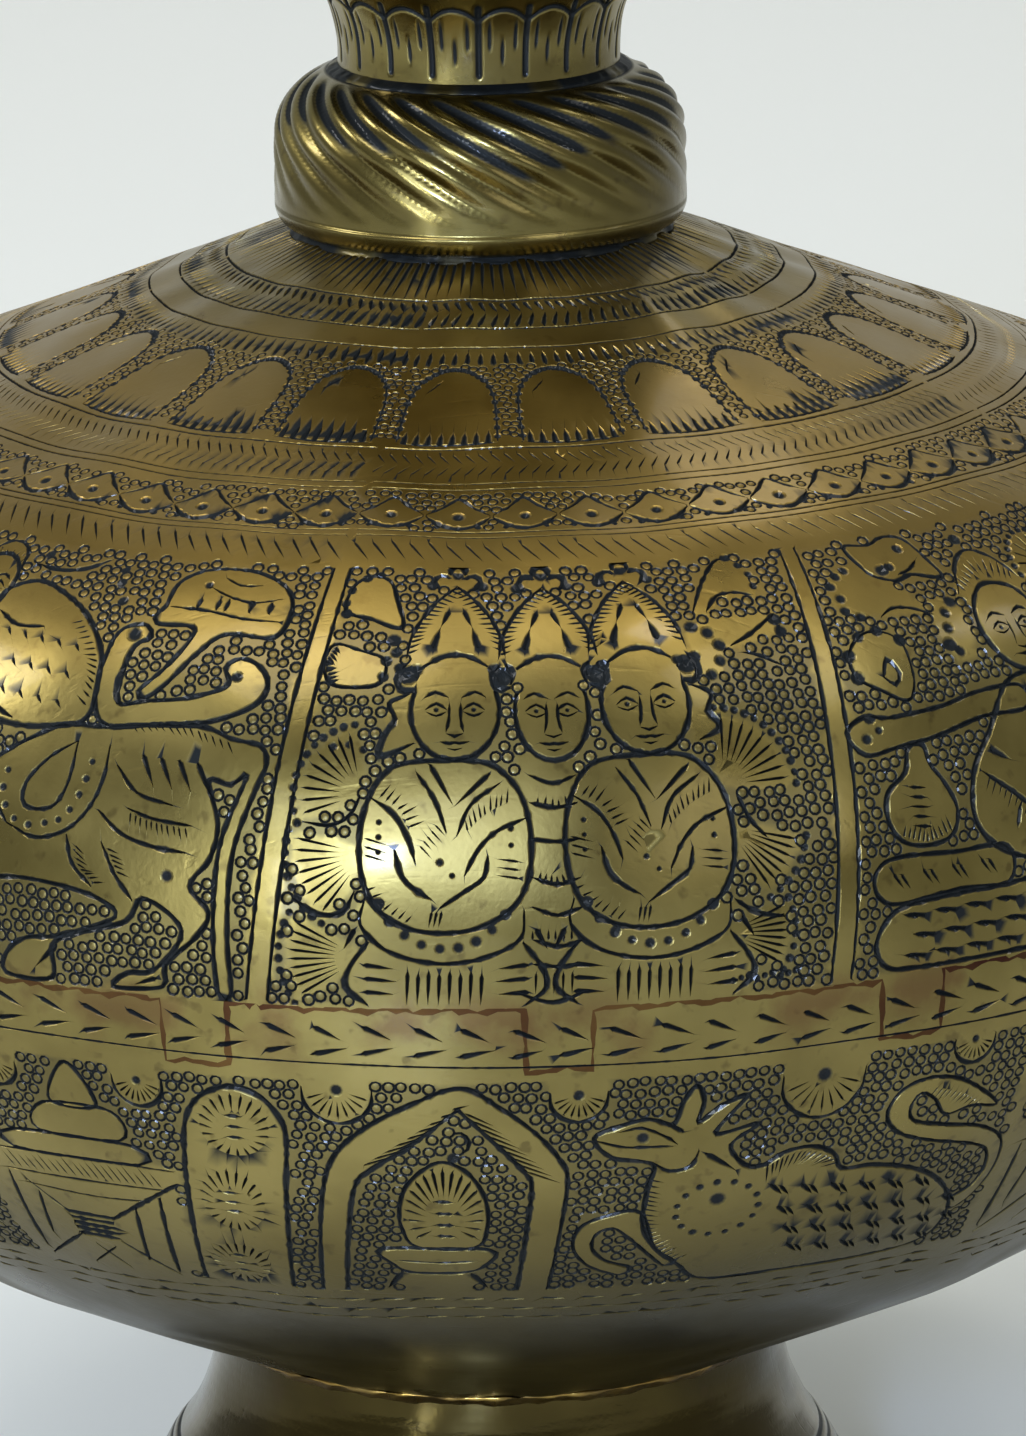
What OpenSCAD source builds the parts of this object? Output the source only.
// Brass kalash: a wide, flattened water pot on a flared foot, with a twisted
// collar round a narrow neck and a rolled lip. The body is two beaten shells
// brazed along a castellated seam at the widest line.
// Millimetres, +Z up. The origin is the centre of the ring that it stands on.

/* [Body] */
// Outside diameter at the widest line
belly_d = 230; // [215:1:245]
// Height of the widest line above the ground
belly_z = 115; // [112:1:119]
// Radius of the side curve above the widest line
side_up_r = 51; // [47:1:53]
// Radius of the side curve below the widest line
side_low_r = 69; // [66:1:72]
// Fall of the shoulder from level, in degrees
shoulder_slope = 21; // [20:1:22]
// Rise of the underside from level, in degrees
under_slope = 26; // [25:1:27]
// Thickness of the beaten sheet
wall = 1.4; // [1.2:0.1:1.8]

/* [Seam] */
// Height of the seam line below the widest line
seam_drop = 3.6; // [3:0.2:5]
// Number of castellated tabs round the seam
tab_count = 16; // [8:1:20]
// Width of one tab
tab_w = 8.6; // [6:0.2:12]
// Depth of one tab below the seam line
tab_h = 8.2; // [5:0.2:10]
// Turn of the tabs round the pot, in degrees
tab_turn = 4; // [0:0.5:22]
// Width of the line of brazing metal
braze_w = 1.0; // [0.8:0.1:1.4]

/* [Neck] */
// Outside radius of the straight neck
neck_r = 18.5; // [17:0.5:19]
// Thickness of the neck wall
neck_wall = 1.6; // [1.4:0.1:2]
// Height at which the neck starts to flare
flare_z = 208; // [207:0.5:211]
// Radius of the flare's curve
flare_r = 19; // [17:0.5:21]
// Angle turned by the flare before the lip, in degrees
flare_turn = 73; // [60:1:80]
// Radius of the rolled edges at the lip and the foot
bead_r = 2.4; // [2.2:0.1:2.8]
// Radius of the wire inside each rolled edge
wire_r = 1.2; // [1:0.1:1.3]

/* [Collar] */
// Outside radius of the twisted collar
collar_r = 27.1; // [26.5:0.1:28]
// Radius of the collar's upper curve
collar_top_r = 9; // [8.5:0.1:9.3]
// Height of the centre of that curve
collar_top_z = 196.6; // [195:0.1:197]
// Radius of the collar's lower corner
collar_foot_r = 3; // [2.5:0.1:3.2]
// Thickness of the collar
collar_wall = 1.7; // [1.6:0.1:2]
// Number of slanting flutes
flute_count = 26; // [20:1:36]
// Depth of one flute
flute_depth = 0.7; // [0.4:0.1:0.9]
// Lean of the flutes from upright, in degrees
flute_lean = 50; // [40:1:60]

/* [Foot] */
// Outside radius at the foot's waist
waist_r = 38.3; // [38:0.1:38.8]
// Height of the waist
waist_z = 34.3; // [34:0.1:34.6]
// Radius of the curve from the waist up to the body
waist_up_r = 5; // [4.5:0.5:5.5]
// Radius of the curve from the waist down to the skirt
waist_low_r = 28; // [27:0.5:29]
// Thickness of the foot
foot_wall = 1.5; // [1.3:0.1:1.8]
// Radius to the middle of the rolled base edge
base_r = 52.2; // [52:0.1:52.5]
// Width of the flat that wear has left under the rolled base edge
worn_w = 2.0; // [1.5:0.1:2.5]

/* [Hidden] */
$fn = 180;

BRASS = [0.50, 0.39, 0.15];
WORN_BRASS = [0.62, 0.50, 0.22];
BRAZE = [0.48, 0.22, 0.13];
WIRE = [0.35, 0.30, 0.24];

belly_r = belly_d / 2;
foot_join_r = 38.9;      // where the underside meets the foot
dish_r = foot_join_r / sin(under_slope);
up_c = belly_r - side_up_r;
low_c = belly_r - side_low_r;
seam_z = belly_z - seam_drop;
gap = 0.3;               // slack between each wire and its rolled edge
bead_wall = bead_r - wire_r - gap;
far = 2 * belly_d;

// Height of the outside of the shoulder at radius r
function shoulder_z(r) = belly_z + side_up_r * cos(shoulder_slope)
    + (up_c + side_up_r * sin(shoulder_slope) - r) * tan(shoulder_slope);

// Height of the outside of the sloping underside at radius r
function under_z(r) = belly_z - side_low_r * cos(under_slope)
    - (low_c + side_low_r * sin(under_slope) - r) * tan(under_slope);

// A point at distance d and angle a from a centre
function polar(c, d, a) = [c[0] + d * cos(a), c[1] + d * sin(a)];

// Points along an arc from angle a0 to a1, in steps of about 4 degrees
function arc(c, r, a0, a1) =
    let (n = ceil(abs(a1 - a0) / 4))
    [for (i = [0 : n]) polar(c, r, a0 + (a1 - a0) * i / n)];

function reversed(list) = [for (i = [len(list) - 1 : -1 : 0]) list[i]];
function without_first(list) = [for (i = [1 : len(list) - 1]) list[i]];

// Half section of the body's skin from the bottom up to the neck, moved inwards by inset
function body_line(inset) =
    let (dish_c = [0, under_z(foot_join_r) + dish_r * cos(under_slope)])
    concat(
        arc(dish_c, dish_r - inset, -90, under_slope - 90),
        arc([low_c, belly_z], side_low_r - inset, under_slope - 90, 0),
        without_first(arc([up_c, belly_z], side_up_r - inset, 0, 90 - shoulder_slope)),
        [[neck_r, shoulder_z(neck_r) - inset / cos(shoulder_slope)]]);

// The whole sheet-metal body as one closed shell, open only at the neck
module body_shell() {
    rotate_extrude() polygon(concat(body_line(0), reversed(body_line(wall))));
}

// Everything above the castellated line, with that line moved down by shift
module above_seam(shift) {
    translate([0, 0, seam_z - shift]) cylinder(r = far, h = far);
    for (i = [0 : tab_count - 1])
        rotate(tab_turn + i * 360 / tab_count)
            translate([up_c, -tab_w / 2 - shift, seam_z - tab_h - shift])
                cube([far, tab_w + 2 * shift, 2 * tab_h]);
}

module upper_shell() {
    color(BRASS) intersection() {
        body_shell();
        above_seam(-braze_w / 2);
    }
}

module lower_bowl() {
    color(BRASS) difference() {
        body_shell();
        above_seam(braze_w / 2);
    }
}

// The spelter that fills the castellated joint
module seam_braze() {
    color(BRAZE) intersection() {
        body_shell();
        difference() {
            above_seam(braze_w / 2);
            above_seam(-braze_w / 2);
        }
    }
}

flare_c = [neck_r + flare_r, flare_z];
lip_end = polar(flare_c, flare_r + neck_wall / 2, 180 - flare_turn);
lip_c = lip_end + (bead_r - neck_wall / 2) * [cos(flare_turn), -sin(flare_turn)]
    + 0.7 * bead_r * [sin(flare_turn), cos(flare_turn)];

// Neck tube, flare and rolled lip, one piece of sheet
module neck_funnel() {
    tail = 3;            // how far the tube reaches below the shoulder
    tail_z = shoulder_z(neck_r) - wall - tail;
    outside = arc(flare_c, flare_r, 180, 180 - flare_turn);
    inside = arc(flare_c, flare_r + neck_wall, 180, 180 - flare_turn);
    color(WORN_BRASS) rotate_extrude() difference() {
        union() {
            polygon(concat([[neck_r, tail_z]], outside, reversed(inside), [[neck_r - neck_wall, tail_z]]));
            translate(lip_c) circle(r = bead_r);
        }
        translate(lip_c) circle(r = bead_r - bead_wall);
    }
}

module lip_wire() {
    color(WIRE) rotate_extrude() translate(lip_c) circle(r = wire_r);
}

collar_foot_z = shoulder_z(collar_r - collar_foot_r) + collar_foot_r;

// Half section of the collar, moved inwards by inset
module collar_outline(inset) {
    low_y = collar_foot_z - collar_foot_r;
    intersection() {
        translate([collar_r - collar_top_r, collar_top_z]) circle(r = collar_top_r - inset);
        translate([neck_r, collar_top_z]) square(collar_top_r);
    }
    translate([neck_r, collar_foot_z])
        square([collar_r - inset - neck_r, collar_top_z - collar_foot_z]);
    translate([collar_r - collar_foot_r, collar_foot_z]) circle(r = collar_foot_r - inset);
    translate([neck_r, low_y - inset])
        square([collar_r - collar_foot_r - neck_r, collar_foot_r + inset]);
}

// Hollow collar round the neck, with slanting flutes cut into it
module neck_collar() {
    cutter_r = 1.5;
    mid_z = (collar_foot_z + collar_top_z) / 2 + 1;
    color(WORN_BRASS) difference() {
        rotate_extrude() difference() {
            collar_outline(0);
            collar_outline(collar_wall);
            polygon([[0, shoulder_z(0)], [far, shoulder_z(far)], [0, shoulder_z(far)]]);
        }
        for (i = [0 : flute_count - 1])
            rotate(i * 360 / flute_count)
                translate([collar_r + cutter_r - flute_depth, 0, mid_z])
                    rotate([flute_lean, 0, 0])
                        cylinder(r = cutter_r, h = 2 * collar_r, center = true, $fn = 24);
    }
}

// Fillet of brazing metal between the shoulder and the collar
module collar_braze() {
    r0 = collar_r - collar_foot_r;
    r1 = collar_r + 0.4;
    color(BRAZE) rotate_extrude() difference() {
        polygon([[r0, shoulder_z(r0)], [r1, shoulder_z(r1)], [r1 - 0.6, collar_foot_z - 0.6], [r0, collar_foot_z]]);
        translate([r0, collar_foot_z]) circle(r = collar_foot_r);
    }
}

// Fillet of brazing metal in the crease between the collar and the neck
module collar_top_braze() {
    crease_w = 1.6;
    top_z = collar_top_z + collar_top_r;
    color(BRAZE) rotate_extrude() difference() {
        polygon([[neck_r, top_z - 1], [neck_r + crease_w, top_z - 1], [neck_r + crease_w, top_z - 0.1],
                 [neck_r, top_z + crease_w / 2]]);
        translate([collar_r - collar_top_r, collar_top_z]) circle(r = collar_top_r);
    }
}

up_cove = [waist_r + waist_up_r, waist_z];
low_cove = [waist_r + waist_low_r, waist_z];
skirt_turn = 40;         // how far the lower curve turns before the skirt
base_z = sqrt(pow(bead_r, 2) - pow(worn_w / 2, 2));

// Flared foot with a rolled base edge, worn flat underneath
module foot() {
    sunk = 0.2;          // how far the skirt's edge sinks into the rolled bead
    bead_top = [base_r, base_z + bead_r - sunk];
    outside = concat(
        arc(up_cove, waist_up_r, 100, 180),
        without_first(arc(low_cove, waist_low_r, 180, 180 + skirt_turn)),
        [bead_top]);
    inside = concat(
        arc(up_cove, waist_up_r + foot_wall, 100, 180),
        without_first(arc(low_cove, waist_low_r + foot_wall, 180, 180 + skirt_turn)),
        [bead_top - [0.6, bead_wall / 2]]);
    color(BRASS) difference() {
        union() {
            rotate_extrude() polygon(concat(outside, reversed(inside)));
            rotate_extrude() translate([base_r, base_z]) circle(r = bead_r);
        }
        rotate_extrude() translate([base_r, base_z]) circle(r = bead_r - bead_wall);
        translate([0, 0, -far]) cylinder(r = far, h = far);
        // the top edge is cut to the slope of the underside
        rotate_extrude() polygon([[0, under_z(0)], [far, under_z(far)], [0, under_z(far)]]);
    }
}

module foot_wire() {
    color(WIRE) rotate_extrude() translate([base_r, base_z]) circle(r = wire_r);
}

// Raised line of brazing metal where the foot meets the underside
module foot_braze() {
    r0 = foot_join_r - 0.6;
    r1 = foot_join_r + 1.6;
    color(BRAZE) rotate_extrude() difference() {
        polygon([[r0, under_z(r0)], [r1, under_z(r1)], [r1, under_z(r1) - 0.7], [r0, under_z(r0) - 1.6]]);
        translate(up_cove) difference() {
            circle(r = waist_up_r + foot_wall + 2);
            circle(r = waist_up_r);
        }
    }
}

upper_shell();
lower_bowl();
seam_braze();
neck_funnel();
lip_wire();
neck_collar();
collar_braze();
collar_top_braze();
foot();
foot_wire();
foot_braze();
